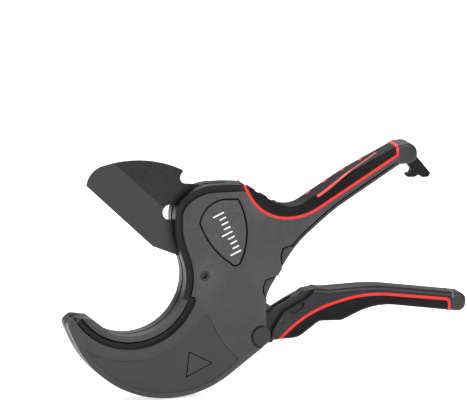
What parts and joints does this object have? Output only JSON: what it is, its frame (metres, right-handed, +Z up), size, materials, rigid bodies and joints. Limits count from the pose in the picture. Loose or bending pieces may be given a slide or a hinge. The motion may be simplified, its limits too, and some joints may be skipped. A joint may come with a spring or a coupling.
{
  "type": "ratchet pipe cutter",
  "caption": "Hand tool for cutting plastic pipe: hooked jaw, swinging blade with a ratchet tail, spring-open squeeze handle, rubber grips and a handle latch.",
  "frame": {"origin": "centre of the pipe throat, in the middle plane between the shells", "axes": "+X from the jaw to the handle ends, +Y through the thickness to the far side, +Z up past the blade"},
  "size_m": [0.2497, 0.02, 0.148],
  "materials": {
    "shell_coat": "dark grey satin coat on cast aluminium",
    "blade_steel": "black coated tool steel, ground bevel",
    "pin_steel": "dark oxide steel",
    "spring_steel": "bright spring wire",
    "grip_rubber": "black soft rubber",
    "trim_red": "bright red plastic",
    "handle_plastic": "black moulded frame",
    "cap_grey": "grey moulded plastic",
    "badge_coat": "dark grey satin plate"
  },
  "bodies": {
    "tool_body": {"near_shell": "shell_coat", "far_shell": "shell_coat", "badge_plate": "badge_coat", "upper_grip": "grip_rubber", "upper_trim": "trim_red", "upper_end_cap": "cap_grey", "latch_pin": "pin_steel", "blade_pivot_screw": "pin_steel", "blade_stop_pin": "pin_steel", "body_screws": "pin_steel", "handle_pivot_pin": "pin_steel", "handle_pivot_nut": "pin_steel", "hold_pawl_pin": "pin_steel", "hold_pawl_spring": "spring_steel"},
    "cutting_blade": {"blade": "blade_steel", "blade_return_spring": "spring_steel"},
    "lower_handle": {"lower_handle_frame": "handle_plastic", "lower_trim": "trim_red", "lower_grip": "grip_rubber", "lower_end_cap": "cap_grey", "drive_pawl_pin": "pin_steel", "drive_pawl_spring": "spring_steel", "handle_return_spring": "spring_steel"},
    "driving_pawl": {"drive_pawl": "pin_steel"},
    "holding_pawl": {"hold_pawl": "pin_steel"},
    "latch": {"latch_hook": "cap_grey"}
  },
  "joints": [
    {"name": "blade_pivot", "type": "hinge", "parent": "tool_body", "child": "cutting_blade", "pos_m": [0.0448, 0, 0.0009], "axis": [0, 1, 0], "range_deg": [-83.4, 20.85]},
    {"name": "handle_pivot", "type": "hinge", "parent": "tool_body", "child": "lower_handle", "pos_m": [0.0805, 0, -0.0382], "axis": [0, 1, 0], "range_deg": [-34, 0], "stiffness_Nm_per_rad": 0.15, "springref_deg": 34.38},
    {"name": "drive_pawl_pivot", "type": "hinge", "parent": "lower_handle", "child": "driving_pawl", "pos_m": [0.0932, 0, -0.0299], "axis": [0, 1, 0], "range_deg": [0, 74.8]},
    {"name": "hold_pawl_pivot", "type": "hinge", "parent": "tool_body", "child": "holding_pawl", "pos_m": [0.06525, 0, -0.04197], "axis": [0, 1, 0], "range_deg": [-8.5, 0]},
    {"name": "latch_pivot", "type": "hinge", "parent": "tool_body", "child": "latch", "pos_m": [0.1738, 0, 0.0681], "axis": [0, 1, 0], "range_deg": [-12, 8]}
  ],
  "couplings": [
    {"joint": "drive_pawl_pivot", "follows": "handle_pivot", "ratio": -2.2}
  ]
}
